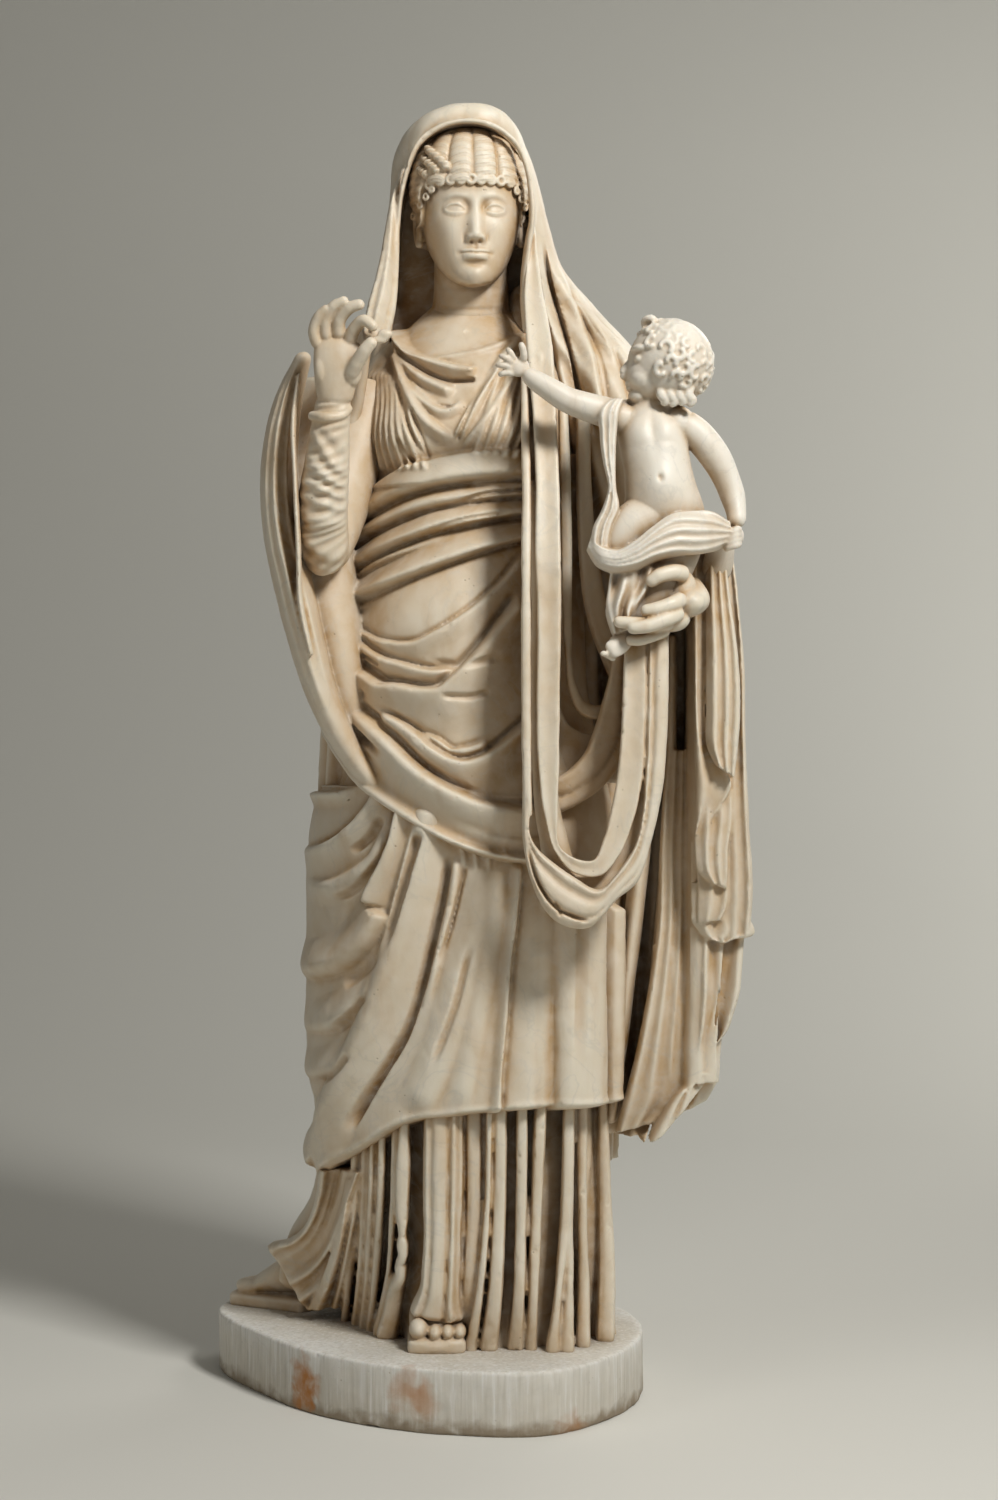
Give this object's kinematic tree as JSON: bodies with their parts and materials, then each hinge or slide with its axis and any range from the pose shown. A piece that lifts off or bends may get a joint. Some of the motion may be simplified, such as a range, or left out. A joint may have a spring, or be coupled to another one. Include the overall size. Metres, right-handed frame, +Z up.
{
  "type": "classical marble statue",
  "caption": "Standing veiled and draped woman in carved marble who carries a small boy on one hand, on a low oval plinth.",
  "frame": {"origin": "on the flat underside of the plinth, under the middle of the standing figure", "axes": "+Z up through the figure, -Y the way her face looks, +X towards her left hand and the boy"},
  "size_m": [0.8375, 0.6328, 2.002],
  "materials": {
    "marble": "honed white marble with warm patina in its hollows",
    "plinth_stone": "tooled grey-white marble with rust stains"
  },
  "bodies": {
    "root": {"figure": "marble", "plinth": "plinth_stone"}
  },
  "joints": []
}
